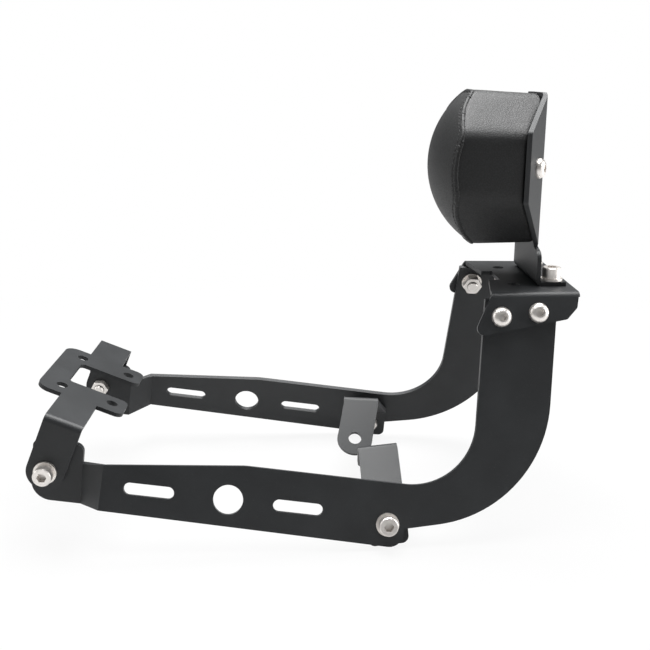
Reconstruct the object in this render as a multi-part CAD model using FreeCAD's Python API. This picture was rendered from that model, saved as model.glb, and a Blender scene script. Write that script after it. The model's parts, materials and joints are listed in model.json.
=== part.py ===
import FreeCAD, Part
import math
import os

# Grab rail with backrest for a motorbike tail: two folded side plates, a front bracket,
# two rear tabs, a top bracket, and a folded backrest bracket that carries a pad.
# Millimetres; X runs to the rear, Y to the rider's right, Z up.
# The origin is on the underside of the front bracket's deck, in the middle of its front bar.

V = FreeCAD.Vector
AXIS_X = V(1, 0, 0)
AXIS_Y = V(0, 1, 0)
AXIS_Z = V(0, 0, 1)

# Sheet thicknesses
PLATE_T = 4.0
SHEET_T = 3.0
BEND_R = 1.5

# Threaded hardware, one nominal size throughout
SCREW_D = 8.0
GAP = 0.3
HOLE_D = SCREW_D + 2 * GAP
SOCKET_HEAD_D = 13.0
SOCKET_HEAD_H = 8.0
SOCKET_KEY = 6.0
SOCKET_KEY_DEPTH = 4.5
BUTTON_HEAD_D = 14.0
BUTTON_HEAD_H = 4.6
BUTTON_KEY = 5.0
BUTTON_KEY_DEPTH = 2.8
BUTTON_RIM_H = 0.8
BUTTON_TOP_D = 7.0
WASHER_D = 16.0
WASHER_T = 1.6
NUT_KEY = 13.0
NUT_H = 6.5
THREAD_PROUD = 1.5
EDGE_BREAK = 0.6

# Side plates: u runs along the arm to the rear, w up the plate, both from the round hole
HALF_WIDTH = 100.2
ARM_SLOPE_ANGLE = 7.6
PLATE_LEAN_ANGLE = 16.2
ARM_FRONT_U = -86.5
ARM_TOP_W = 24.2
ARM_TOP_KINK_U = 9.0
ARM_TOP_FRONT_W = 14.0
ARM_KINK_R = 40.0
ARM_BOTTOM_FRONT_W = -17.0
ARM_BOTTOM_REAR_W = -20.0
LUG_REAR_U = 123.0
LUG_NOTCH_W = -6.3
LUG_R = 10.0
HEEL_U = 218.2
HEEL_W = 17.1
HEEL_R = 89.5
UPRIGHT_WIDTH = 51.4
ELBOW_R = 44.0
UPRIGHT_LEAN_ANGLE = 2.9
ROUND_HOLE_D = 20.6
SLOT_LENGTH = 34.5
SLOT_WIDTH = 8.5
SLOT_FRONT_U = -54.2
SLOT_REAR_U = 48.2
REAR_BOLT_U = 111.0
REAR_BOLT_W = -4.4

# Front tab of each side plate, upright, set inward by a joggle
TAB_FACE_Y = 86.6
TAB_START_U = -102.5
TAB_FRONT_U = -137.0
TAB_TOP_V = 22.0
TAB_BOTTOM_V = -22.3
TAB_JOGGLE_TOP_V = 8.0
TAB_TOP_R = 6.0
TAB_FRONT_TOP_R = 4.0
TAB_FRONT_BOTTOM_R = 14.0
JOGGLE_MITRE = 1.4
FRONT_BOLT_U = -127.0

# Front bracket: d runs along its pitched deck to the rear
DECK_PITCH_ANGLE = 22.6
DECK_FRONT_D = -35.0
DECK_REAR_D = 30.0
DECK_HALF_W = 46.0
DECK_FRONT_R = 10.0
DECK_REAR_R = 6.0
WINDOW_HALF_W = 20.0
WINDOW_FRONT_D = -17.3
WINDOW_R = 4.0
DECK_HOLE_D = 8.5
DECK_HOLE_PITCH_D = 38.4
DECK_HOLE_PITCH_Y = 64.0
LEG_WIDTH = 26.8
LEG_CENTRE_D = -2.7
LEG_DROP = 40.0

# Rear tabs: a strip in three legs, clamped inside the lug
STRIP_HALF_W = 14.3
LEFT_STRIP_ANGLE = 13.0
RIGHT_STRIP_ANGLE = 4.5
LEFT_STRIP_JOG = -2.6
LEFT_EYE_JOG = -1.2
RIGHT_STRIP_JOG = 11.0
RIGHT_EYE_JOG = 4.4
STRIP_JOG_CLEAR = 6.0
STRIP_FOOT = 15.0
STRIP_FOOT_R = 5.0
STRIP_FOLD_UP = 11.0
STRIP_RISE_ANGLE = 47.5
STRIP_RISE_LENGTH = 53.5
STRIP_FALL_ANGLE = 24.0
STRIP_FALL_LENGTH = 53.0
STRIP_HOLE_D = 10.6
STRIP_HOLE_BACK = 14.3

# Top bracket: places along it from the uprights' heel, drops from the slab's top at the heel
TOP_Z = 134.0
TOP_LENGTH = 61.4
TOP_REAR_PAST_HEEL = 26.6
TOP_FOLD_R = 4.5
TOP_SCREW_FRONT_BACK = 46.1
TOP_SCREW_FRONT_DROP = 23.8
TOP_SCREW_REAR_BACK = 20.6
TOP_SCREW_REAR_DROP = 17.7
FLANGE_FRONT_BACK = 54.0
FLANGE_TOE_BACK = 64.5
FLANGE_TOE_DROP = 40.8
FLANGE_TOE_R = 5.0
FLANGE_HEEL_PAST = 0.2
FLANGE_HEEL_DROP = 19.7
FLANGE_REAR_PAST = 6.2
FLANGE_REAR_DROP = 10.8
FLANGE_CORNER_R = 3.0
FLANGE_TRIM = 13.9
UPRIGHT_TOP_GAP = 2.0
TOP_EDGE_DISH = 5.5
TOP_CORNER_IN = 2.4
NOTCH_HALF_W = 15.0
NOTCH_DEPTH = 8.0
SPARE_HOLE_BACK = 21.1

# Backrest bracket
FOOT_BOLT_Y = 28.5
FOOT_WASHER_ROOM = 0.2
FOOT_EDGE = 0.8
NECK_BEFORE_REAR = 26.3
NECK_HALF_W = 36.5
NECK_SHOULDER_Z = 157.5
NECK_SHOULDER_R = 7.0
WING_BEND_Y = 23.0
WING_ANGLE = 28.0
WING_BOLT_Y = 34.0
WING_BOLT_Z = 217.5

# Eight-sided outlines in front view: back plate, then pad
BACK_TOP_Z = 268.0
BACK_TOP_HALF_W = 21.0
BACK_HALF_W = 54.5
BACK_SIDE_TOP_Z = 242.5
BACK_SIDE_BOTTOM_Z = 195.5
BACK_BOTTOM_Z = 160.5
BACK_BOTTOM_HALF_W = 22.0
BACK_R = 3.5
PAD_TOP_Z = 266.0
PAD_TOP_HALF_W = 15.0
PAD_HALF_W = 54.0
PAD_SIDE_TOP_Z = 239.0
PAD_SIDE_BOTTOM_Z = 195.5
PAD_BOTTOM_Z = 162.8
PAD_BOTTOM_HALF_W = 22.0
PAD_TOP_R = 18.0
PAD_SHOULDER_R = 14.0
PAD_HIP_R = 16.0
PAD_BOTTOM_R = 8.0
PAD_TOP_RISE = 6.0
PAD_SIDE_RISE = 4.0
PAD_BOTTOM_FALL = 2.0

# Crown of the pad's front and the board behind it
PAD_DEPTH = 75.0
PAD_CROWN_Z = 216.5
PAD_CROWN_R = 66.0
PAD_CROWN_ACROSS_R = 150.0
PAD_EDGE_R = 5.0
BOARD_T = 8.0
BOARD_INSET = 9.0
FAR = 400.0

# Derived places
ELBOW_U = HEEL_U - UPRIGHT_WIDTH
FLANGE_FRONT_U = HEEL_U - FLANGE_FRONT_BACK
FLANGE_REAR_U = HEEL_U + FLANGE_REAR_PAST
TOP_REAR_X = HEEL_U + TOP_REAR_PAST_HEEL
TOP_FRONT_X = TOP_REAR_X - TOP_LENGTH
SPARE_HOLE_X = TOP_FRONT_X + SPARE_HOLE_BACK
NECK_FRONT_X = TOP_REAR_X - NECK_BEFORE_REAR
FOOT_BOLT_X = NECK_FRONT_X + SHEET_T + BEND_R + FOOT_WASHER_ROOM + WASHER_D / 2
FOOT_REAR_X = FOOT_BOLT_X + WASHER_D / 2 + FOOT_EDGE
PAD_FRONT_X = NECK_FRONT_X - PAD_DEPTH
FRONT_BOLT_X = FRONT_BOLT_U * math.cos(math.radians(ARM_SLOPE_ANGLE))
FRONT_BOLT_Z = -FRONT_BOLT_U * math.sin(math.radians(ARM_SLOPE_ANGLE))
PITCH = math.radians(DECK_PITCH_ANGLE)
DECK_DIR = V(math.cos(PITCH), 0, -math.sin(PITCH))
DECK_UP = V(math.sin(PITCH), 0, math.cos(PITCH))
DECK_TOP = V(FRONT_BOLT_X, 0, FRONT_BOLT_Z) - DECK_DIR * LEG_CENTRE_D + DECK_UP * LEG_DROP
SEAT = DECK_TOP + DECK_DIR * ((DECK_FRONT_D + WINDOW_FRONT_D) / 2) - DECK_UP * SHEET_T


def rounded_wire(corners):
    """Closed wire in the XZ plane through (x, z, radius) corners, each rounded by a tangent arc."""
    starts = []
    ends = []
    middles = []
    count = len(corners)
    for i in range(count):
        x, z, radius = corners[i]
        here = V(x, 0, z)
        back = V(corners[i - 1][0], 0, corners[i - 1][1]) - here
        ahead = V(corners[(i + 1) % count][0], 0, corners[(i + 1) % count][1]) - here
        back.normalize()
        ahead.normalize()
        half = back.getAngle(ahead) / 2
        reach = radius / math.tan(half)
        bisector = back + ahead
        bisector.normalize()
        starts.append(here + back * reach)
        ends.append(here + ahead * reach)
        middles.append(here + bisector * (radius / math.sin(half) - radius))
    edges = []
    for i in range(count):
        if corners[i][2] > 0:
            edges.append(Part.Arc(starts[i], middles[i], ends[i]).toShape())
        following = starts[(i + 1) % count]
        if (following - ends[i]).Length > 1e-6:
            edges.append(Part.LineSegment(ends[i], following).toShape())
    return Part.Wire(edges)


def blank(corners, thickness):
    """Flat blank of the given outline, its outer face at y = 0 and its thickness along +y."""
    return Part.Face(rounded_wire(corners)).extrude(AXIS_Y * thickness)


def offset_path(path, distance):
    """Corners of an open path moved to its left by a distance, with mitred turns."""
    moved = []
    last = len(path) - 1
    for i in range(len(path)):
        here = V(path[i][0], path[i][1], 0)
        first = here - V(path[max(i - 1, 0)][0], path[max(i - 1, 0)][1], 0)
        second = V(path[min(i + 1, last)][0], path[min(i + 1, last)][1], 0) - here
        if i == 0:
            first = second
        if i == last:
            second = first
        normal_1 = V(-first.y, first.x, 0).normalize()
        normal_2 = V(-second.y, second.x, 0).normalize()
        corner = here + (normal_1 + normal_2) * (distance / (1 + normal_1.dot(normal_2)))
        moved.append((corner.x, corner.y))
    return moved


def folded_section(path, thickness, radius):
    """Rounded corners of a sheet's section whose one face follows a path, the sheet on its left."""
    near = []
    off = []
    moved = offset_path(path, thickness)
    last = len(path) - 1
    for i in range(len(path)):
        near_r = 0.0
        off_r = 0.0
        if 0 < i < last:
            first = V(path[i][0] - path[i - 1][0], path[i][1] - path[i - 1][1], 0)
            second = V(path[i + 1][0] - path[i][0], path[i + 1][1] - path[i][1], 0)
            left_turn = first.cross(second).z > 0
            near_r = radius + thickness if left_turn else radius
            off_r = radius if left_turn else radius + thickness
        near.append((path[i][0], path[i][1], near_r))
        off.append((moved[i][0], moved[i][1], off_r))
    return near + off[::-1]


def rod(diameter, start, end):
    """Round bar between two points."""
    axis = end - start
    return Part.makeCylinder(diameter / 2, axis.Length, start, axis)


def hexagon(key, depth):
    """Hexagonal prism across flats, from z = 0 down to -depth."""
    radius = key / math.sqrt(3)
    points = [V(radius * math.cos(math.pi * k / 3), radius * math.sin(math.pi * k / 3), 0) for k in range(7)]
    return Part.Face(Part.makePolygon(points)).extrude(AXIS_Z * -depth)


def socket_screw(length):
    """Cylinder-head screw along z, its head's bearing face at z = 0 and its shank below."""
    head = Part.makeCylinder(SOCKET_HEAD_D / 2, SOCKET_HEAD_H)
    head = head.makeChamfer(EDGE_BREAK, [e for e in head.Edges if e.BoundBox.ZMin > SOCKET_HEAD_H / 2])
    key = hexagon(SOCKET_KEY, SOCKET_KEY_DEPTH)
    key.translate(AXIS_Z * SOCKET_HEAD_H)
    return head.cut(key).fuse(shank(length)).removeSplitter()


def button_screw(length):
    """Domed-head screw along z, its head's bearing face at z = 0 and its shank below."""
    half = BUTTON_HEAD_D / 2
    top = BUTTON_TOP_D / 2
    rim = V(half, 0, BUTTON_RIM_H)
    crown = V(top, 0, BUTTON_HEAD_H)
    bulge = V((half + top) / 2 + EDGE_BREAK, 0, (BUTTON_RIM_H + BUTTON_HEAD_H) / 2 + EDGE_BREAK)
    edges = [
        Part.makeLine(V(0, 0, 0), V(half, 0, 0)),
        Part.makeLine(V(half, 0, 0), rim),
        Part.Arc(rim, bulge, crown).toShape(),
        Part.makeLine(crown, V(0, 0, BUTTON_HEAD_H)),
        Part.makeLine(V(0, 0, BUTTON_HEAD_H), V(0, 0, 0)),
    ]
    head = Part.Face(Part.Wire(edges)).revolve(V(), AXIS_Z, 360)
    key = hexagon(BUTTON_KEY, BUTTON_KEY_DEPTH)
    key.translate(AXIS_Z * BUTTON_HEAD_H)
    return head.cut(key).fuse(shank(length)).removeSplitter()


def shank(length):
    """Plain shank below z = 0 with a broken lower edge."""
    bar = Part.makeCylinder(SCREW_D / 2, length, V(0, 0, -length))
    return bar.makeChamfer(EDGE_BREAK, [e for e in bar.Edges if e.BoundBox.ZMax < -length / 2])


def washer():
    """Flat washer on z = 0."""
    disc = Part.makeCylinder(WASHER_D / 2, WASHER_T)
    return disc.cut(Part.makeCylinder(HOLE_D / 2, WASHER_T))


def nut():
    """Hexagon nut below z = 0, chamfered at both ends."""
    body = hexagon(NUT_KEY, NUT_H)
    corner = NUT_KEY / math.sqrt(3)
    shell = Part.makeCylinder(corner, NUT_H, V(0, 0, -NUT_H))
    shell = shell.makeChamfer(EDGE_BREAK, [shell.Edges[0], shell.Edges[2]])
    bore = Part.makeCylinder(HOLE_D / 2, NUT_H, V(0, 0, -NUT_H))
    return body.common(shell).cut(bore)


def stand(shape, point, outward):
    """Copy of a fastener stood at a point with its z along the outward direction."""
    return shape.transformed(FreeCAD.Placement(point, FreeCAD.Rotation(AXIS_Z, outward)).toMatrix())


def mirrored(shape):
    """Copy of a shape on the other side of the middle plane."""
    return shape.mirror(V(), AXIS_Y)


def both(shapes):
    """Group of the given solids and their mirror images."""
    return Part.makeCompound(list(shapes) + [mirrored(s) for s in shapes])


# Frames of the left side: arm frame without lean, and the plate's own frame
ARM = FreeCAD.Placement(V(), FreeCAD.Rotation(AXIS_Y, ARM_SLOPE_ANGLE))
LEAN = FreeCAD.Placement(V(), FreeCAD.Rotation(AXIS_X, -PLATE_LEAN_ANGLE))
PLATE = FreeCAD.Placement(V(0, -HALF_WIDTH, 0), ARM.Rotation).multiply(LEAN)
OUTWARD = PLATE.Rotation.multVec(-AXIS_Y)


def on_plate(u, w, depth=0.0):
    """Point of the left plate's frame, depth being inward from its outer face."""
    return PLATE.multVec(V(u, depth, w))


def on_arm(u, v, y):
    """Point of the unleaned arm frame at a stated y."""
    return ARM.multVec(V(u, y, v))


def w_at_height(u, z):
    """Height up the outer face of the plate at which it reaches a level."""
    return (z - on_plate(u, 0).z) / PLATE.Rotation.multVec(AXIS_Z).z


# Height up the plates of the slab's top at the heel, to a tenth, and what hangs from it
SLAB_W = round(w_at_height(HEEL_U, TOP_Z), 1)
SLAB_HALF_W = round(-on_plate(HEEL_U, SLAB_W).y, 1)
TOP_SCREW_FRONT = (HEEL_U - TOP_SCREW_FRONT_BACK, SLAB_W - TOP_SCREW_FRONT_DROP)
TOP_SCREW_REAR = (HEEL_U - TOP_SCREW_REAR_BACK, SLAB_W - TOP_SCREW_REAR_DROP)
FLANGE_TOE = (HEEL_U - FLANGE_TOE_BACK, SLAB_W - FLANGE_TOE_DROP)
FLANGE_HEEL = (HEEL_U + FLANGE_HEEL_PAST, SLAB_W - FLANGE_HEEL_DROP)
FLANGE_REAR_W = SLAB_W - FLANGE_REAR_DROP
FLANGE_REACH_W = SLAB_W + FLANGE_TRIM

# Left side plate
lean_step = math.tan(math.radians(UPRIGHT_LEAN_ANGLE))
plate_top_z = TOP_Z - SHEET_T - UPRIGHT_TOP_GAP
rear_top_w = w_at_height(HEEL_U, plate_top_z)
rear_top_u = HEEL_U - (rear_top_w - HEEL_W) * lean_step
front_top_w = w_at_height(ELBOW_U, plate_top_z)
front_top_u = ELBOW_U - (front_top_w - ARM_TOP_W) * lean_step
arm = blank([
    (ARM_FRONT_U, ARM_BOTTOM_FRONT_W, 0),
    (LUG_REAR_U, ARM_BOTTOM_REAR_W, LUG_R),
    (LUG_REAR_U, LUG_NOTCH_W, 0),
    (HEEL_U, HEEL_W, HEEL_R),
    (rear_top_u, rear_top_w, EDGE_BREAK),
    (front_top_u, front_top_w, EDGE_BREAK),
    (ELBOW_U, ARM_TOP_W, ELBOW_R),
    (ARM_TOP_KINK_U, ARM_TOP_W, ARM_KINK_R),
    (ARM_FRONT_U, ARM_TOP_FRONT_W, 0),
], PLATE_T)
half_slot = SLOT_LENGTH / 2
for centre in (SLOT_FRONT_U, SLOT_REAR_U):
    slot = [
        (centre - half_slot, -SLOT_WIDTH / 2, SLOT_WIDTH / 2),
        (centre + half_slot, -SLOT_WIDTH / 2, SLOT_WIDTH / 2),
        (centre + half_slot, SLOT_WIDTH / 2, SLOT_WIDTH / 2),
        (centre - half_slot, SLOT_WIDTH / 2, SLOT_WIDTH / 2),
    ]
    arm = arm.cut(blank(slot, PLATE_T))
arm = arm.cut(rod(ROUND_HOLE_D, V(), V(0, PLATE_T, 0)))
for u, w in ((REAR_BOLT_U, REAR_BOLT_W), TOP_SCREW_FRONT, TOP_SCREW_REAR):
    arm = arm.cut(rod(HOLE_D, V(u, 0, w), V(u, PLATE_T, w)))


def mitre_wedge(u, side, low, high):
    """Prism that trims a blank's end to the joggle's mitred bend plane."""
    tip = u + JOGGLE_MITRE
    y = PLATE_T if side < 0 else 0.0
    far = u if side < 0 else tip
    corners = [V(u, 0, low), V(tip, PLATE_T, low), V(far, y, low), V(u, 0, low)]
    return Part.Face(Part.makePolygon(corners)).extrude(AXIS_Z * (high - low))


arm = arm.cut(mitre_wedge(ARM_FRONT_U, -1, -HALF_WIDTH, HALF_WIDTH))
arm = arm.transformed(PLATE.toMatrix())
tab = blank([
    (TAB_START_U + JOGGLE_MITRE, TAB_BOTTOM_V, 0),
    (TAB_START_U + JOGGLE_MITRE, TAB_JOGGLE_TOP_V, 0),
    (TAB_START_U, TAB_JOGGLE_TOP_V, 0),
    (TAB_START_U, TAB_TOP_V, TAB_TOP_R),
    (TAB_FRONT_U, TAB_TOP_V, TAB_FRONT_TOP_R),
    (TAB_FRONT_U, TAB_BOTTOM_V, TAB_FRONT_BOTTOM_R),
], PLATE_T)
tab = tab.cut(rod(HOLE_D, V(FRONT_BOLT_U, 0, 0), V(FRONT_BOLT_U, PLATE_T, 0)))
tab = tab.cut(mitre_wedge(TAB_START_U, 1, TAB_BOTTOM_V, TAB_JOGGLE_TOP_V))
tab.translate(V(0, -TAB_FACE_Y, 0))
tab = tab.transformed(ARM.toMatrix())
arm_end = [
    on_plate(ARM_FRONT_U, ARM_BOTTOM_FRONT_W),
    on_plate(ARM_FRONT_U, ARM_TOP_FRONT_W),
    on_plate(ARM_FRONT_U + JOGGLE_MITRE, ARM_TOP_FRONT_W, PLATE_T),
    on_plate(ARM_FRONT_U + JOGGLE_MITRE, ARM_BOTTOM_FRONT_W, PLATE_T),
]
tab_end = [
    on_arm(TAB_START_U, TAB_BOTTOM_V, -TAB_FACE_Y),
    on_arm(TAB_START_U, TAB_JOGGLE_TOP_V, -TAB_FACE_Y),
    on_arm(TAB_START_U + JOGGLE_MITRE, TAB_JOGGLE_TOP_V, PLATE_T - TAB_FACE_Y),
    on_arm(TAB_START_U + JOGGLE_MITRE, TAB_BOTTOM_V, PLATE_T - TAB_FACE_Y),
]
joggle_ends = [Part.makePolygon(end + end[:1]) for end in (arm_end, tab_end)]
joggle = Part.makeLoft(joggle_ends, True, True)
side_plate = arm.fuse([joggle, tab]).removeSplitter()

# Front bracket, made flat about its own deck centre and then pitched
leg_face_y = TAB_FACE_Y + SHEET_T
leg_front = LEG_CENTRE_D - LEG_WIDTH / 2
leg_rear = LEG_CENTRE_D + LEG_WIDTH / 2
section = folded_section([
    (leg_face_y, -LEG_DROP - LEG_WIDTH / 2),
    (leg_face_y, 0),
    (-leg_face_y, 0),
    (-leg_face_y, -LEG_DROP - LEG_WIDTH / 2),
], SHEET_T, BEND_R)
channel = Part.Face(rounded_wire(section)).extrude(AXIS_Y * LEG_WIDTH)
channel.rotate(V(), AXIS_Z, -90)
channel.translate(V(leg_front, 0, 0))
leg_low = -LEG_DROP - LEG_WIDTH / 2
end_stock = Part.makeBox(LEG_WIDTH, 2 * leg_face_y, LEG_WIDTH / 2, V(leg_front, -leg_face_y, leg_low))
end_round = rod(LEG_WIDTH, V(LEG_CENTRE_D, -leg_face_y, -LEG_DROP), V(LEG_CENTRE_D, leg_face_y, -LEG_DROP))
channel = channel.cut(end_stock.cut(end_round))
deck = blank([
    (DECK_FRONT_D, -DECK_HALF_W, DECK_FRONT_R),
    (DECK_REAR_D, -DECK_HALF_W, DECK_REAR_R),
    (DECK_REAR_D, -WINDOW_HALF_W, DECK_REAR_R),
    (WINDOW_FRONT_D, -WINDOW_HALF_W, WINDOW_R),
    (WINDOW_FRONT_D, WINDOW_HALF_W, WINDOW_R),
    (DECK_REAR_D, WINDOW_HALF_W, DECK_REAR_R),
    (DECK_REAR_D, DECK_HALF_W, DECK_REAR_R),
    (DECK_FRONT_D, DECK_HALF_W, DECK_FRONT_R),
], SHEET_T)
deck.rotate(V(), AXIS_X, -90)
window_start = V(WINDOW_FRONT_D, -WINDOW_HALF_W, -2 * SHEET_T)
window = Part.makeBox(FAR, 2 * WINDOW_HALF_W, 3 * SHEET_T, window_start)
front_bracket = channel.cut(window).fuse(deck).removeSplitter()
for d in (-DECK_HOLE_PITCH_D / 2, DECK_HOLE_PITCH_D / 2):
    for y in (-DECK_HOLE_PITCH_Y / 2, DECK_HOLE_PITCH_Y / 2):
        front_bracket = front_bracket.cut(rod(DECK_HOLE_D, V(d, y, -SHEET_T), V(d, y, 0)))
leg_axis = rod(HOLE_D, V(LEG_CENTRE_D, -leg_face_y, -LEG_DROP), V(LEG_CENTRE_D, leg_face_y, -LEG_DROP))
front_bracket = front_bracket.cut(leg_axis)
DECK = FreeCAD.Placement(DECK_TOP, FreeCAD.Rotation(AXIS_Y, DECK_PITCH_ANGLE))
front_bracket = front_bracket.transformed(DECK.toMatrix())

# Rear tab, made about its bolt: x across the strip, y inward, z up the strip
rise = math.radians(STRIP_RISE_ANGLE)
fall = math.radians(STRIP_FALL_ANGLE)
fold_1 = (PLATE_T, STRIP_FOLD_UP)
fold_2 = (fold_1[0] + STRIP_RISE_LENGTH * math.cos(rise), fold_1[1] + STRIP_RISE_LENGTH * math.sin(rise))
tip = (fold_2[0] + STRIP_FALL_LENGTH * math.cos(fall), fold_2[1] - STRIP_FALL_LENGTH * math.sin(fall))
jog_low = (fold_1[0] + STRIP_JOG_CLEAR * math.cos(rise), fold_1[1] + STRIP_JOG_CLEAR * math.sin(rise))
jog_high = (fold_2[0] - STRIP_JOG_CLEAR * math.cos(rise), fold_2[1] - STRIP_JOG_CLEAR * math.sin(rise))


def strip_legs(path):
    """Legs of the strip whose outer face follows a path in its (y, z) section."""
    section_face = Part.Face(rounded_wire(folded_section(path, SHEET_T, BEND_R)))
    legs = section_face.extrude(AXIS_Y * (2 * STRIP_HALF_W))
    legs.rotate(V(), AXIS_Z, 90)
    legs.translate(V(STRIP_HALF_W, 0, 0))
    return legs


lower_legs = strip_legs([jog_low, fold_1, (PLATE_T, -STRIP_FOOT)])
foot_edges = [e for e in lower_legs.Edges if e.BoundBox.ZMax < -STRIP_FOOT + EDGE_BREAK]
lower_legs = lower_legs.makeFillet(STRIP_FOOT_R, [e for e in foot_edges if e.BoundBox.XLength < EDGE_BREAK])
lower_legs = lower_legs.cut(rod(HOLE_D, V(), V(0, PLATE_T + 2 * SHEET_T, 0)))
along = V(0, math.cos(fall), -math.sin(fall))
fall_side = V(0, -math.sin(fall), -math.cos(fall))
rise_side = V(0, math.sin(rise), -math.cos(rise))
eye = V(0, tip[0], tip[1]) - along * STRIP_HOLE_BACK
fall_start = V(0, fold_2[0], fold_2[1]) + along * STRIP_JOG_CLEAR
upper_legs = strip_legs([(fall_start.y, fall_start.z), fold_2, jog_high])


def slanted_leg(start, end, shift, sheet_side):
    """Flat leg between two points of the section, its far end shifted forward across the strip."""
    half = AXIS_X * STRIP_HALF_W
    far_end = end - AXIS_X * shift
    corners = [start - half, start + half, far_end + half, far_end - half]
    return Part.Face(Part.makePolygon(corners + corners[:1])).extrude(sheet_side * SHEET_T)


def turned_tab(turn, jog, eye_jog):
    """Strip on the left lug, its rising and falling legs jogged forward, turned about its bolt."""
    low = V(0, jog_low[0], jog_low[1])
    high = V(0, jog_high[0], jog_high[1])
    rising = slanted_leg(low, high, jog, rise_side)
    falling = slanted_leg(fall_start, eye, eye_jog, fall_side)
    eye_point = eye - AXIS_X * eye_jog
    falling = falling.fuse(Part.makeCylinder(STRIP_HALF_W, SHEET_T, eye_point, fall_side))
    falling = falling.cut(Part.makeCylinder(STRIP_HOLE_D / 2, SHEET_T, eye_point, fall_side))
    upper = upper_legs.fuse(falling)
    upper.translate(AXIS_X * -jog)
    tab_copy = lower_legs.fuse([rising, upper]).removeSplitter()
    tab_copy.rotate(V(), AXIS_Y, -turn)
    tab_copy.translate(V(REAR_BOLT_U, 0, REAR_BOLT_W))
    return tab_copy.transformed(PLATE.toMatrix())


# Top bracket: level slab between two flanges that lie outside the uprights
flange = blank([
    (FLANGE_FRONT_U, w_at_height(FLANGE_FRONT_U, TOP_Z), 0),
    (FLANGE_TOE[0], FLANGE_TOE[1], FLANGE_TOE_R),
    (FLANGE_HEEL[0], FLANGE_HEEL[1], FLANGE_CORNER_R),
    (FLANGE_REAR_U, FLANGE_REAR_W, FLANGE_CORNER_R),
    (FLANGE_REAR_U, FLANGE_REACH_W, 0),
    (FLANGE_FRONT_U, FLANGE_REACH_W, 0),
], SHEET_T)
for u, w in (TOP_SCREW_FRONT, TOP_SCREW_REAR):
    flange = flange.cut(rod(HOLE_D, V(u, 0, w), V(u, SHEET_T, w)))
flange.translate(V(0, -SHEET_T, 0))
flange = flange.transformed(PLATE.toMatrix())
flange = flange.cut(Part.makeBox(FAR, FAR, FAR, V(0, -FAR / 2, TOP_Z)))
slab = Part.makeBox(FAR, FAR, SHEET_T, V(0, -FAR / 2, TOP_Z - SHEET_T))
inside = Part.makeBox(2 * FAR, FAR, 2 * FAR, V(-FAR, -SHEET_T, -FAR)).transformed(PLATE.toMatrix())
slab = slab.common(inside).common(mirrored(inside))
dish_x = TOP_FRONT_X + TOP_EDGE_DISH
corner_y = SLAB_HALF_W - TOP_CORNER_IN
top_outline = [
    V(TOP_REAR_X, -HALF_WIDTH, TOP_Z - SHEET_T),
    V(TOP_FRONT_X, -HALF_WIDTH, TOP_Z - SHEET_T),
    V(TOP_FRONT_X, -corner_y, TOP_Z - SHEET_T),
    V(dish_x, -NOTCH_HALF_W, TOP_Z - SHEET_T),
    V(dish_x + NOTCH_DEPTH, -NOTCH_HALF_W, TOP_Z - SHEET_T),
    V(dish_x + NOTCH_DEPTH, NOTCH_HALF_W, TOP_Z - SHEET_T),
    V(dish_x, NOTCH_HALF_W, TOP_Z - SHEET_T),
    V(TOP_FRONT_X, corner_y, TOP_Z - SHEET_T),
    V(TOP_FRONT_X, HALF_WIDTH, TOP_Z - SHEET_T),
    V(TOP_REAR_X, HALF_WIDTH, TOP_Z - SHEET_T),
]
slab = slab.common(Part.Face(Part.makePolygon(top_outline + top_outline[:1])).extrude(AXIS_Z * SHEET_T))
for x in (FOOT_BOLT_X, SPARE_HOLE_X):
    for y in (-FOOT_BOLT_Y, FOOT_BOLT_Y):
        slab = slab.cut(rod(HOLE_D, V(x, y, TOP_Z - SHEET_T), V(x, y, TOP_Z)))
top_bracket = slab.fuse([flange, mirrored(flange)]).removeSplitter()


def fold_edges(shape, level):
    """Fore and aft edges of the top bracket's folds that lie at a level."""
    found = []
    for edge in shape.Edges:
        box = edge.BoundBox
        if abs(box.ZMin - level) < GAP and box.ZLength < GAP and box.XLength > UPRIGHT_TOP_GAP * SHEET_T:
            if abs(box.Center.y) > FOOT_BOLT_Y + HOLE_D / 2:
                found.append(edge)
    return found


top_bracket = top_bracket.makeFillet(TOP_FOLD_R, fold_edges(top_bracket, TOP_Z))
top_bracket = top_bracket.makeFillet(BEND_R, fold_edges(top_bracket, TOP_Z - SHEET_T))

# Plan of the back plate's front face: a straight middle and two wings turned forward
wing_reach = BACK_HALF_W * 2
wing_step = (wing_reach - WING_BEND_Y) * math.tan(math.radians(WING_ANGLE))
WING_PATH = [
    (NECK_FRONT_X - wing_step, wing_reach),
    (NECK_FRONT_X, WING_BEND_Y),
    (NECK_FRONT_X, -WING_BEND_Y),
    (NECK_FRONT_X - wing_step, -wing_reach),
]


def winged_sheet(front, rear, low, high):
    """Upright folded sheet between two offsets behind the plate's front face."""
    outline = [V(x, y, low) for x, y in offset_path(WING_PATH, front) + offset_path(WING_PATH, rear)[::-1]]
    return Part.Face(Part.makePolygon(outline + outline[:1])).extrude(AXIS_Z * (high - low))


def eight_sided(top, shoulder, hip, bottom):
    """Corners of an outline that is the same on both sides, each given as (half width, z, radius)."""
    half = [top, shoulder, hip, bottom]
    return [(-y, z, r) for y, z, r in half] + half[::-1]


def front_view(corners, x):
    """Wire of a front-view outline, stood at a place along the rail."""
    wire = rounded_wire(corners)
    wire.rotate(V(), AXIS_Z, 90)
    wire.translate(V(x, 0, 0))
    return wire


def fore_aft(corners, front_x, rear_x):
    """Bar of a front-view outline between two places along the rail."""
    return Part.Face(front_view(corners, front_x)).extrude(AXIS_X * (rear_x - front_x))


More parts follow.
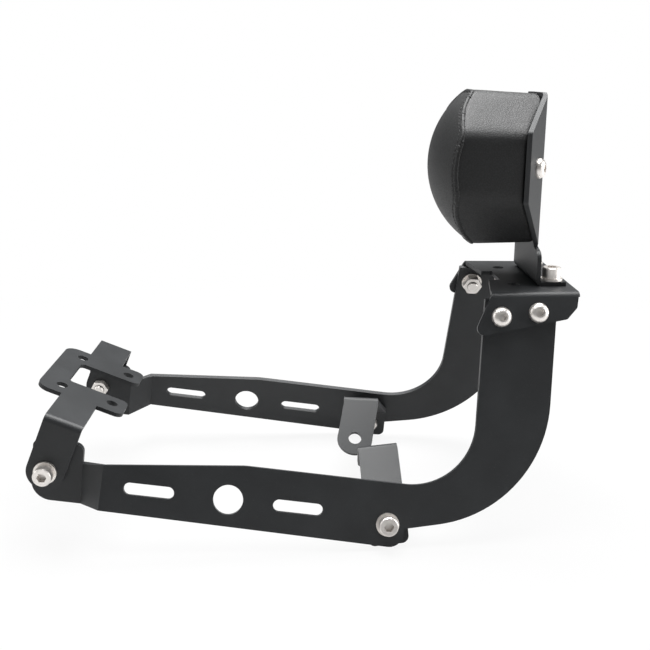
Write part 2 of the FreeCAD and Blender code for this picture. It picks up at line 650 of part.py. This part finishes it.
# Backrest bracket: foot, neck and winged back plate in one sheet
neck_section = folded_section([
    (NECK_FRONT_X, PAD_CROWN_Z),
    (NECK_FRONT_X, TOP_Z),
    (FOOT_REAR_X, TOP_Z),
], SHEET_T, BEND_R)
neck = Part.Face(rounded_wire(neck_section)).extrude(AXIS_Y * (2 * NECK_HALF_W))
neck.translate(V(0, -NECK_HALF_W, 0))
neck_outline = eight_sided(
    (WING_BEND_Y, PAD_CROWN_Z, 0),
    (WING_BEND_Y, BACK_BOTTOM_Z, 0),
    (NECK_HALF_W, NECK_SHOULDER_Z, NECK_SHOULDER_R),
    (NECK_HALF_W, TOP_Z - SHEET_T, 0),
)
neck = neck.common(fore_aft(neck_outline, PAD_FRONT_X, FOOT_REAR_X + SHEET_T))
back_outline = eight_sided(
    (BACK_TOP_HALF_W, BACK_TOP_Z, BACK_R),
    (BACK_HALF_W, BACK_SIDE_TOP_Z, BACK_R),
    (BACK_HALF_W, BACK_SIDE_BOTTOM_Z, BACK_R),
    (BACK_BOTTOM_HALF_W, BACK_BOTTOM_Z, BACK_R),
)
back_plate = winged_sheet(0, SHEET_T, BACK_BOTTOM_Z - SHEET_T, BACK_TOP_Z + SHEET_T)
back_plate = back_plate.common(fore_aft(back_outline, PAD_FRONT_X, FOOT_REAR_X))
backrest_bracket = neck.fuse(back_plate).removeSplitter()
for y in (-FOOT_BOLT_Y, FOOT_BOLT_Y):
    foot_hole = rod(HOLE_D, V(FOOT_BOLT_X, y, TOP_Z), V(FOOT_BOLT_X, y, TOP_Z + SHEET_T))
    backrest_bracket = backrest_bracket.cut(foot_hole)
wing = math.radians(WING_ANGLE)
wing_face_x = NECK_FRONT_X - (WING_BOLT_Y - WING_BEND_Y) * math.tan(wing)
wing_in = V(-math.cos(wing), math.sin(wing), 0)
wing_point = V(wing_face_x, -WING_BOLT_Y, WING_BOLT_Z)
wing_hole = rod(HOLE_D, wing_point - wing_in * PLATE_T, wing_point + wing_in * (BOARD_T + GAP))
backrest_bracket = backrest_bracket.cut(wing_hole).cut(mirrored(wing_hole))

# Pad board, drawn in from the pad's outline
board_outline = eight_sided(
    (PAD_TOP_HALF_W - BOARD_INSET / 2, PAD_TOP_Z - BOARD_INSET, BACK_R),
    (PAD_HALF_W - BOARD_INSET, PAD_SIDE_TOP_Z - BOARD_INSET / 3, BACK_R),
    (PAD_HALF_W - BOARD_INSET, PAD_SIDE_BOTTOM_Z + BOARD_INSET / 3, BACK_R),
    (PAD_BOTTOM_HALF_W - BOARD_INSET / 2, PAD_BOTTOM_Z + BOARD_INSET, BACK_R),
)
board = winged_sheet(-BOARD_T, 0, PAD_BOTTOM_Z, PAD_TOP_Z)
board = board.common(fore_aft(board_outline, PAD_FRONT_X, FOOT_REAR_X))
pocket = board.copy()
board = board.cut(wing_hole).cut(mirrored(wing_hole))


def pad_section(x, share):
    """Pad outline at a place along the rail, its top raised and its bottom dropped by a share."""
    return front_view(eight_sided(
        (PAD_TOP_HALF_W, PAD_TOP_Z + PAD_TOP_RISE * share, PAD_TOP_R),
        (PAD_HALF_W, PAD_SIDE_TOP_Z + PAD_SIDE_RISE * share, PAD_SHOULDER_R),
        (PAD_HALF_W, PAD_SIDE_BOTTOM_Z + PAD_SIDE_RISE * share, PAD_HIP_R),
        (PAD_BOTTOM_HALF_W, PAD_BOTTOM_Z - PAD_BOTTOM_FALL * share, PAD_BOTTOM_R),
    ), x)


# Pad cushion: a flared bar with a domed front, seated on the plate and the board
cushion = Part.makeLoft([pad_section(FOOT_REAR_X, 0), pad_section(PAD_FRONT_X, 1)], True, True)
crown_top = V(PAD_FRONT_X + PAD_CROWN_ACROSS_R, 0, PAD_CROWN_Z + PAD_CROWN_R)
crown_low = V(PAD_FRONT_X + PAD_CROWN_ACROSS_R, 0, PAD_CROWN_Z - PAD_CROWN_R)
crown_shift = V(PAD_FRONT_X + PAD_CROWN_R, 0, 0)
arc_top = V(crown_shift.x, 0, crown_top.z)
arc_low = V(crown_shift.x, 0, crown_low.z)
crown_edges = [
    Part.Arc(arc_low, V(PAD_FRONT_X, 0, PAD_CROWN_Z), arc_top).toShape(),
    Part.makeLine(arc_top, crown_top),
    Part.makeLine(crown_top, crown_low),
    Part.makeLine(crown_low, arc_low),
]
crown = Part.Face(Part.Wire(crown_edges)).revolve(crown_top, AXIS_Z, 360)
cushion = cushion.common(crown)
cushion = cushion.cut(winged_sheet(0, PAD_HALF_W, PAD_BOTTOM_Z - PAD_HALF_W, PAD_TOP_Z + PAD_HALF_W))
seam_x = PAD_FRONT_X + PAD_HALF_W
seam = [e for e in cushion.Edges if e.BoundBox.XMax < seam_x and e.BoundBox.XLength < PAD_HALF_W / 2]
cushion = cushion.makeFillet(PAD_EDGE_R, seam)
cushion = cushion.cut(pocket)

# Fasteners
front_point = on_arm(FRONT_BOLT_U, 0, -leg_face_y)
front_grip = WASHER_T + SHEET_T + PLATE_T
front_screw = stand(socket_screw(front_grip + NUT_H + THREAD_PROUD), front_point - AXIS_Y * WASHER_T, -AXIS_Y)
front_washer = stand(washer(), front_point, -AXIS_Y)
front_nut = stand(nut(), front_point + AXIS_Y * (SHEET_T + PLATE_T), -AXIS_Y)
rear_point = on_plate(REAR_BOLT_U, REAR_BOLT_W)
rear_grip = WASHER_T + PLATE_T + SHEET_T
rear_screw = stand(socket_screw(rear_grip + NUT_H + THREAD_PROUD), rear_point + OUTWARD * WASHER_T, OUTWARD)
rear_washer = stand(washer(), rear_point, OUTWARD)
rear_nut = stand(nut(), rear_point - OUTWARD * (PLATE_T + SHEET_T), OUTWARD)
top_grip = SHEET_T + PLATE_T + WASHER_T
top_screws = []
top_washers = []
top_nuts = []
for u, w in (TOP_SCREW_FRONT, TOP_SCREW_REAR):
    top_screws.append(stand(button_screw(top_grip + NUT_H + THREAD_PROUD), on_plate(u, w, -SHEET_T), OUTWARD))
    top_washers.append(stand(washer(), on_plate(u, w, PLATE_T + WASHER_T), OUTWARD))
    top_nuts.append(stand(nut(), on_plate(u, w, PLATE_T + WASHER_T), OUTWARD))
foot_point = V(FOOT_BOLT_X, -FOOT_BOLT_Y, TOP_Z + SHEET_T)
foot_grip = WASHER_T + 2 * SHEET_T
foot_screw = stand(socket_screw(foot_grip + NUT_H + THREAD_PROUD), foot_point + AXIS_Z * WASHER_T, AXIS_Z)
foot_washer = stand(washer(), foot_point, AXIS_Z)
foot_nut = stand(nut(), foot_point - AXIS_Z * (2 * SHEET_T), AXIS_Z)
pad_screw = stand(button_screw(SHEET_T + BOARD_T - THREAD_PROUD), wing_point - wing_in * SHEET_T, -wing_in)

nodes = {
    "left_side_plate": side_plate,
    "right_side_plate": mirrored(side_plate),
    "front_bracket": front_bracket,
    "left_rear_tab": turned_tab(LEFT_STRIP_ANGLE, LEFT_STRIP_JOG, LEFT_EYE_JOG),
    "right_rear_tab": mirrored(turned_tab(RIGHT_STRIP_ANGLE, RIGHT_STRIP_JOG, RIGHT_EYE_JOG)),
    "top_bracket": top_bracket,
    "backrest_bracket": backrest_bracket,
    "pad_board": board,
    "pad_cushion": cushion,
    "front_screws": both([front_screw]),
    "front_washers": both([front_washer]),
    "front_nuts": both([front_nut]),
    "rear_screws": both([rear_screw]),
    "rear_washers": both([rear_washer]),
    "rear_nuts": both([rear_nut]),
    "top_screws": both(top_screws),
    "top_washers": both(top_washers),
    "top_nuts": both(top_nuts),
    "foot_screws": both([foot_screw]),
    "foot_washers": both([foot_washer]),
    "foot_nuts": both([foot_nut]),
    "pad_screws": both([pad_screw]),
}

os.makedirs("parts", exist_ok=True)
for name, shape in nodes.items():
    placed = shape.copy()
    placed.translate(SEAT * -1)
    placed.exportStep("parts/" + name + ".step")
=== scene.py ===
import json
import math
import bpy
from mathutils import Matrix, Vector


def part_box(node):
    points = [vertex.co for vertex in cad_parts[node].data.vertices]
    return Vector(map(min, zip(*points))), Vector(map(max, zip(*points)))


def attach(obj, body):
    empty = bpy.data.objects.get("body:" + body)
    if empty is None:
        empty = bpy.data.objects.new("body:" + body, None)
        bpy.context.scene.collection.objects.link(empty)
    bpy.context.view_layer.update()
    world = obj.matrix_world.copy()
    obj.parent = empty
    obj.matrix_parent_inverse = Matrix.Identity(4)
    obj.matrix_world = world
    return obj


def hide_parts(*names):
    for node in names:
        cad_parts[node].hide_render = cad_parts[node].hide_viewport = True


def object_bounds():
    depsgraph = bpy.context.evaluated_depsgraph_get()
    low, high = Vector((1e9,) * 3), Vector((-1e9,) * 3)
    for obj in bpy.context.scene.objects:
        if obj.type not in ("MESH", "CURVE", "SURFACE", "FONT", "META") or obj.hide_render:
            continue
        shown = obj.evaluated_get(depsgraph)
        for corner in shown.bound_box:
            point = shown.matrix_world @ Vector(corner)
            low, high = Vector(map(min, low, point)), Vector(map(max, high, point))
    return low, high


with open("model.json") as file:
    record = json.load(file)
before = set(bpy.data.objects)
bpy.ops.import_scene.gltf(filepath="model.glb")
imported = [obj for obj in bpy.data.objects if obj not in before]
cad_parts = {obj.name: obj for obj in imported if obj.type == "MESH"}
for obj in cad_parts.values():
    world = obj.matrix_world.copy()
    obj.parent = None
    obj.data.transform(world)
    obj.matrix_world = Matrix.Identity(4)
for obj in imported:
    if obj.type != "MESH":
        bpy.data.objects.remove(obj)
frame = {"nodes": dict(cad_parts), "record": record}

cad_box = [list(corner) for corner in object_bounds()]

# lengths in metres
MERGE_GAP = 0.00002
PAD_SHRINK = -0.0005
PAD_VOXEL = 0.0018
PAD_SWELL = 0.0014
SWELL_STEPS = 20
HELD_FROM_FRONT = 0.052
REAR_EDGE = 0.004
FRONT_PANEL_TILT = -0.48
WELT_RADIUS = 0.0017
WELT_SINK = -0.0006
STITCH_PITCH = 0.0036
STITCH_LENGTH = 0.0026
STITCH_RADIUS = 0.00032
STITCH_BEVEL = 0.00014
STITCH_DRAW_IN = 0.0042
STITCH_SINK = -0.0001
KINK_REACH = 4
FLOOR_GAP = 0.0005
WHITE = (1, 1, 1, 1)


class Wire:
    """A shader socket with arithmetic: each operator adds a Math node."""

    def __init__(self, tree, socket):
        self.tree = tree
        self.socket = socket

    def maths(self, operation, first, second=None):
        node = self.tree.nodes.new("ShaderNodeMath")
        node.operation = operation
        for slot, value in zip(node.inputs, (first, second)):
            if isinstance(value, Wire):
                self.tree.links.new(value.socket, slot)
            elif value is not None:
                slot.default_value = value
        return Wire(self.tree, node.outputs[0])

    def __add__(self, other):
        return self.maths("ADD", self, other)

    def __radd__(self, other):
        return self.maths("ADD", other, self)

    def __sub__(self, other):
        return self.maths("SUBTRACT", self, other)

    def __rsub__(self, other):
        return self.maths("SUBTRACT", other, self)

    def __mul__(self, other):
        return self.maths("MULTIPLY", self, other)

    def __rmul__(self, other):
        return self.maths("MULTIPLY", other, self)


class Finish:
    """One procedural material, with a method that makes any node."""

    def __init__(self, name):
        self.material = bpy.data.materials.new(name)
        self.material.use_nodes = True
        self.tree = self.material.node_tree
        self.shader = self.tree.nodes["Principled BSDF"]

    def make(self, kind, settings=None, out=0, **sockets):
        node = self.tree.nodes.new(kind)
        for key, value in (settings or {}).items():
            if key == "stops":
                ramp = node.color_ramp
                while len(ramp.elements) < len(value):
                    ramp.elements.new(0.5)
                for element, (place, colour) in zip(ramp.elements, value):
                    element.position = place
                    element.color = colour
            else:
                setattr(node, key, value)
        for key, value in sockets.items():
            self.feed(node.inputs[key.replace("_", " ")], value)
        return Wire(self.tree, node.outputs[out])

    def feed(self, slot, value):
        if isinstance(value, Wire):
            self.tree.links.new(value.socket, slot)
        else:
            slot.default_value = value

    def set(self, **sockets):
        for key, value in sockets.items():
            self.feed(self.shader.inputs[key.replace("_", " ")], value)
        return self

    def place(self):
        return self.make("ShaderNodeTexCoord", out=3)

    def noise(self, scale, detail=2.0, rough=0.5):
        return self.make("ShaderNodeTexNoise", Vector=self.place(), Scale=scale,
                         Detail=detail, Roughness=rough)

    def ramp(self, value, stops):
        return self.make("ShaderNodeValToRGB", {"stops": stops}, Fac=value)

    def bump(self, height, strength, distance):
        return self.make("ShaderNodeBump", Height=height, Strength=strength, Distance=distance)


def grey(value, warm=0.0):
    """A grey, turned to yellow by a warm above nought and to blue by one below."""
    return (value * (1 + warm), value, value * (1 - warm), 1.0)


def black_powder_coat():
    """Satin black coat on steel: fine orange peel, faint cloudiness and a few dust specks."""
    coat = Finish("black_powder_coat")
    cloud = coat.noise(35, 3)
    peel = coat.noise(2600, 2, 0.6)
    dust = coat.ramp(coat.noise(900, 1), [(0.70, grey(0)), (0.76, grey(1))])
    tone = coat.ramp(cloud * 0.7 + peel * 0.3,
                     [(0.3, grey(0.018, -0.07)), (0.7, grey(0.027, -0.07))])
    specked = coat.make("ShaderNodeMix", {"data_type": "RGBA"}, out=2)
    mix = specked.socket.node
    coat.feed(mix.inputs[0], dust * 0.12)
    coat.feed(mix.inputs[6], tone)
    coat.feed(mix.inputs[7], grey(0.12))
    coat.set(Base_Color=specked, Roughness=0.42 + cloud * 0.10, Specular_IOR_Level=0.40,
             Normal=coat.bump(peel, 0.22, 0.00012))
    return coat.material


def stainless():
    """Bright stainless: a fine grain and a little handling haze."""
    steel = Finish("bright_stainless")
    haze = steel.noise(140, 3)
    grain = steel.noise(3000, 2, 0.7)
    tone = steel.ramp(haze, [(0.3, grey(0.76, 0.045)), (0.7, grey(0.86, 0.045))])
    steel.set(Base_Color=tone, Metallic=1.0, Roughness=0.32 + haze * 0.16,
              Normal=steel.bump(grain, 0.10, 0.0001))
    return steel.material


def pad_cover():
    """Grained black cover: pebbled cells, finer pores and a tone lighter at the middle of each
    cell.
    """
    hide = Finish("pad_cover")
    cells = hide.make("ShaderNodeTexVoronoi", {"feature": "DISTANCE_TO_EDGE"},
                      Vector=hide.place(), Scale=620.0, Randomness=1.0)
    pebble = hide.ramp(cells, [(0.0, grey(0)), (0.22, grey(1))])
    pores = hide.noise(1900, 2, 0.6)
    wander = hide.noise(28, 3)
    tone = hide.ramp(wander * 0.5 + pebble * 0.5,
                     [(0.2, grey(0.006, -0.05)), (0.9, grey(0.012, -0.05))])
    height = pebble * 0.7 + pores * 0.3
    hide.set(Base_Color=tone, Roughness=0.56 - pebble * 0.08 + wander * 0.08,
             Specular_IOR_Level=0.42, Normal=hide.bump(height, 0.30, 0.00028))
    return hide.material


def black_board():
    """Plain board behind the pad, with a moulded grain."""
    board = Finish("black_board")
    grain = board.noise(700, 3)
    tone = board.ramp(grain, [(0.3, grey(0.035)), (0.7, grey(0.05))])
    board.set(Base_Color=tone, Roughness=0.55 + grain * 0.15,
              Normal=board.bump(grain, 0.2, 0.0002))
    return board.material


def seam_thread():
    """Dark sewing thread with a twisted lay."""
    thread = Finish("seam_thread")
    lay = thread.noise(2200, 2)
    tone = thread.ramp(lay, [(0.3, grey(0.018)), (0.7, grey(0.040))])
    thread.set(Base_Color=tone, Roughness=0.6 + lay * 0.2,
               Normal=thread.bump(lay, 0.3, 0.0001))
    return thread.material


coat = black_powder_coat()
bright = stainless()
cover = pad_cover()
board = black_board()
thread = seam_thread()
by_slot = {"black_coat": coat, "stainless": bright, "pad_cover": cover, "board": board}
for part in frame["record"]["subparts"]:
    node = frame["nodes"][part["node"]]
    node.data.materials.clear()
    node.data.materials.append(by_slot[part["material_slot"]])


def only(obj):
    """Leaves one object selected and active."""
    bpy.ops.object.select_all(action="DESELECT")
    obj.select_set(True)
    bpy.context.view_layer.objects.active = obj


def finish_with(piece, material):
    """Gives a piece one material."""
    piece.data.materials.clear()
    piece.data.materials.append(material)


def pad_copy(name):
    """Merged copy of the pad's CAD solid as an object of its own."""
    copy = bpy.data.objects.new(name, frame["nodes"]["pad_cushion"].data.copy())
    bpy.context.scene.collection.objects.link(copy)
    only(copy)
    bpy.ops.object.mode_set(mode="EDIT")
    bpy.ops.mesh.select_all(action="SELECT")
    bpy.ops.mesh.remove_doubles(threshold=MERGE_GAP)
    bpy.ops.object.mode_set(mode="OBJECT")
    return copy


def apply_modifier(obj, kind, **settings):
    """Adds a modifier to an object and applies it."""
    only(obj)
    modifier = obj.modifiers.new(kind.lower(), kind)
    for key, value in settings.items():
        setattr(modifier, key, value)
    bpy.ops.object.modifier_apply(modifier=modifier.name)


def swell(pad, rear_x):
    """Blows the cover up a little over its foam by cloth pressure, its rear held on the plate."""
    held = pad.vertex_groups.new(name="held")
    for vertex in pad.data.vertices:
        if vertex.co.x > rear_x:
            held.add([vertex.index], 1.0, "REPLACE")
    before = [vertex.co.copy() for vertex in pad.data.vertices]
    cloth = pad.modifiers.new("cover", "CLOTH")
    cloth.settings.quality = 6
    cloth.settings.mass = 0.25
    cloth.settings.tension_stiffness = 30
    cloth.settings.compression_stiffness = 30
    cloth.settings.shear_stiffness = 12
    cloth.settings.bending_stiffness = 4
    cloth.settings.use_pressure = True
    cloth.settings.uniform_pressure_force = 4.0
    cloth.settings.vertex_group_mass = "held"
    cloth.settings.effector_weights.gravity = 0.0
    for step in range(1, SWELL_STEPS + 1):
        bpy.context.scene.frame_set(step)
    only(pad)
    bpy.ops.object.modifier_apply(modifier=cloth.name)
    bpy.context.scene.frame_set(1)
    for vertex, start in zip(pad.data.vertices, before):
        move = vertex.co - start
        if move.length > PAD_SWELL:
            vertex.co = start + move * (PAD_SWELL / move.length)
    pad.vertex_groups.clear()


def padded_cushion():
    """Foam pad under a stretched cover, swollen between its seams and flat on its plate."""
    low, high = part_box("pad_cushion")
    pad = pad_copy("backrest_pad")
    bpy.ops.object.mode_set(mode="EDIT")
    bpy.ops.mesh.select_all(action="SELECT")
    bpy.ops.transform.shrink_fatten(value=PAD_SHRINK)
    bpy.ops.object.mode_set(mode="OBJECT")
    apply_modifier(pad, "REMESH", mode="VOXEL", voxel_size=PAD_VOXEL)
    swell(pad, low[0] + HELD_FROM_FRONT)
    free = pad.vertex_groups.new(name="free")
    ahead = [vertex.index for vertex in pad.data.vertices if vertex.co.x < high[0] - REAR_EDGE]
    free.add(ahead, 1.0, "REPLACE")
    apply_modifier(pad, "SMOOTH", factor=0.5, iterations=4, vertex_group="free")
    pad.vertex_groups.clear()
    apply_modifier(pad, "SUBSURF", levels=1, render_levels=1)
    only(pad)
    bpy.ops.object.shade_smooth()
    finish_with(pad, cover)
    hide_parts("pad_cushion")
    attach(pad, "root")
    return pad


def seam_loop(name, pad, draw_in, proud):
    """Line round the edge of the pad's front panel, drawn in and laid on the cover."""
    loop = pad_copy(name)
    mesh = loop.data
    bpy.ops.object.mode_set(mode="EDIT")
    bpy.ops.mesh.select_mode(type="FACE")
    bpy.ops.mesh.select_all(action="DESELECT")
    bpy.ops.object.mode_set(mode="OBJECT")
    for face in mesh.polygons:
        face.select = face.normal.x < FRONT_PANEL_TILT
    bpy.ops.object.mode_set(mode="EDIT")
    bpy.ops.mesh.region_to_loop()
    bpy.ops.mesh.select_all(action="INVERT")
    bpy.ops.mesh.delete(type="EDGE")
    bpy.ops.mesh.select_all(action="SELECT")
    bpy.ops.mesh.delete_loose(use_verts=True, use_edges=False, use_faces=False)
    bpy.ops.mesh.select_all(action="SELECT")
    bpy.ops.mesh.subdivide(number_cuts=3)
    bpy.ops.mesh.vertices_smooth(factor=0.5, repeat=6)
    bpy.ops.object.mode_set(mode="OBJECT")
    middle = sum((vertex.co for vertex in mesh.vertices), Vector()) / len(mesh.vertices)
    for vertex in mesh.vertices:
        out = vertex.co - middle
        out.x = 0.0
        vertex.co -= out.normalized() * draw_in
    apply_modifier(loop, "SHRINKWRAP", target=pad, wrap_method="NEAREST_SURFACEPOINT",
                   wrap_mode="ABOVE_SURFACE", offset=proud)
    return loop


def lay_welt(loop):
    """Turns a line into a round bead on the pad, partly sunk into the cover."""
    only(loop)
    bpy.ops.object.convert(target="CURVE")
    bead = bpy.context.object
    bead.data.bevel_depth = WELT_RADIUS
    bead.data.bevel_resolution = 2
    only(bead)
    bpy.ops.object.convert(target="MESH")
    bead = bpy.context.object
    only(bead)
    bpy.ops.object.shade_smooth()
    finish_with(bead, cover)
    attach(bead, "root")


def along(loop):
    """Points of the seam's line in order round the pad's middle, small kinks evened out."""
    points = [vertex.co.copy() for vertex in loop.data.vertices]
    middle = sum(points, Vector()) / len(points)
    points.sort(key=lambda point: math.atan2(point.z - middle.z, point.y - middle.y))
    size = len(points)
    window = range(-KINK_REACH, KINK_REACH + 1)
    return [sum((points[(index + step) % size] for step in window), Vector()) / len(window)
            for index in range(size)]


def one_stitch():
    """A single stitch along X: a short length of thread with its edges taken off."""
    bpy.ops.object.select_all(action="DESELECT")
    bpy.ops.mesh.primitive_cylinder_add(vertices=8, radius=STITCH_RADIUS, depth=STITCH_LENGTH,
                                        rotation=(0, math.pi / 2, 0))
    stitch = bpy.context.object
    bpy.ops.object.transform_apply(location=False, rotation=True, scale=False)
    bpy.ops.object.mode_set(mode="EDIT")
    bpy.ops.mesh.select_all(action="SELECT")
    bpy.ops.mesh.bevel(offset=STITCH_BEVEL, segments=1, affect="EDGES")
    bpy.ops.object.mode_set(mode="OBJECT")
    return stitch


def stitch_row(loop, pad):
    """Row of stitches along the seam's line, each lying on the cover."""
    points = along(loop)
    whole = sum((after - before).length
                for before, after in zip(points, points[1:] + points[:1]))
    count = round(whole / STITCH_PITCH)
    model = one_stitch()
    row = []
    run, leg = 0.0, 0
    for number in range(count):
        reach = whole * number / count
        while leg + 1 < len(points) and reach > run + (points[leg + 1] - points[leg]).length:
            run += (points[leg + 1] - points[leg]).length
            leg += 1
        start, end = points[leg], points[(leg + 1) % len(points)]
        tangent = (end - start).normalized()
        near = start + tangent * (reach - run)
        found, place, normal, face = pad.closest_point_on_mesh(near)
        across = normal.cross(tangent).normalized()
        stitch = model.copy()
        stitch.data = model.data.copy()
        turn = Matrix((tangent, across, tangent.cross(across))).transposed()
        stitch.matrix_world = turn.to_4x4()
        stitch.location = place
        bpy.context.scene.collection.objects.link(stitch)
        row.append(stitch)
    bpy.data.objects.remove(model)
    bpy.data.objects.remove(loop)
    only(row[0])
    for stitch in row:
        stitch.select_set(True)
    bpy.ops.object.join()
    bpy.ops.object.transform_apply(location=True, rotation=True, scale=True)
    sewn = bpy.context.object
    sewn.name = "pad_stitches"
    bpy.ops.object.shade_smooth()
    finish_with(sewn, thread)
    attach(sewn, "root")


def lay_floor():
    """Pale paper floor: it keeps a soft shadow near the rail and runs out to plain white."""
    low = cad_box[0]
    bpy.ops.object.select_all(action="DESELECT")
    bpy.ops.mesh.primitive_plane_add(size=30, location=(0.19, 0, low[2] - FLOOR_GAP))
    floor = bpy.context.object
    floor.name = "floor"
    paper = Finish("white_paper")
    seen = paper.make("ShaderNodeLightPath").socket.node.outputs
    to_camera = Wire(paper.tree, seen["Is Camera Ray"])
    to_gloss = Wire(paper.tree, seen["Is Glossy Ray"])
    to_eye = to_camera + to_gloss * 0.5
    reach = paper.make("ShaderNodeVectorMath", {"operation": "LENGTH"}, out=1,
                       Vector=paper.place())
    clear = paper.make("ShaderNodeMapRange", Value=reach, From_Min=0.25, From_Max=0.75)
    paper.set(Base_Color=(0.5, 0.5, 0.5, 1), Roughness=0.9)
    glow = paper.make("ShaderNodeEmission", Color=WHITE, Strength=1.0)
    both = paper.tree.nodes.new("ShaderNodeMixShader")
    paper.feed(both.inputs[0], to_eye * (0.90 + clear * 0.10))
    paper.tree.links.new(paper.shader.outputs[0], both.inputs[1])
    paper.tree.links.new(glow.socket, both.inputs[2])
    paper.tree.links.new(both.outputs[0], paper.tree.nodes["Material Output"].inputs[0])
    floor.data.materials.append(paper.material)


def light_studio():
    """Broad overhead softbox, one at the rear and a weaker one in front, in a dim room."""
    world = bpy.data.worlds.new("surround")
    bpy.context.scene.world = world
    world.use_nodes = True
    tree = world.node_tree
    back = tree.nodes["Background"]
    path = tree.nodes.new("ShaderNodeLightPath")
    to_camera = Wire(tree, path.outputs["Is Camera Ray"])
    to_gloss = Wire(tree, path.outputs["Is Glossy Ray"])
    strength = to_camera * 0.95 + to_gloss * 0.14 + 0.05
    tree.links.new(strength.socket, back.inputs["Strength"])
    back.inputs["Color"].default_value = WHITE
    for name, place, size, power, aim in (
        ("overhead_softbox", (0.22, 0.30, 1.4), 1.3, 60.0, (0.2, 0.0, 0.05)),
        ("rear_softbox", (1.5, -0.10, 0.40), 0.9, 14.0, (0.3, 0.0, 0.12)),
        ("front_softbox", (-1.2, 0.0, 0.6), 0.8, 4.5, (0.25, 0.0, 0.12)),
    ):
        lamp = bpy.data.lights.new(name, "AREA")
        lamp.size = size
        lamp.energy = power
        obj = bpy.data.objects.new(name, lamp)
        obj.location = place
        beam = Vector(aim) - Vector(place)
        obj.rotation_euler = beam.to_track_quat("-Z", "Y").to_euler()
        bpy.context.scene.collection.objects.link(obj)


def set_camera():
    """Camera where the photograph was taken from."""
    lens = bpy.data.cameras.new("photo_camera")
    lens.sensor_width = 36.0
    lens.lens = 49.85
    camera = bpy.data.objects.new("photo_camera", lens)
    camera.location = (0.18941, -0.66125, 0.22209)
    camera.rotation_euler = (math.radians(74.267), 0.0, math.radians(-1.047))
    bpy.context.scene.collection.objects.link(camera)
    bpy.context.scene.camera = camera


pad = padded_cushion()
lay_welt(seam_loop("pad_seam_welt", pad, 0.0, WELT_SINK))
stitch_row(seam_loop("pad_seam_line", pad, STITCH_DRAW_IN, STITCH_SINK), pad)
lay_floor()
light_studio()
set_camera()
bpy.context.scene.view_settings.view_transform = "Standard"
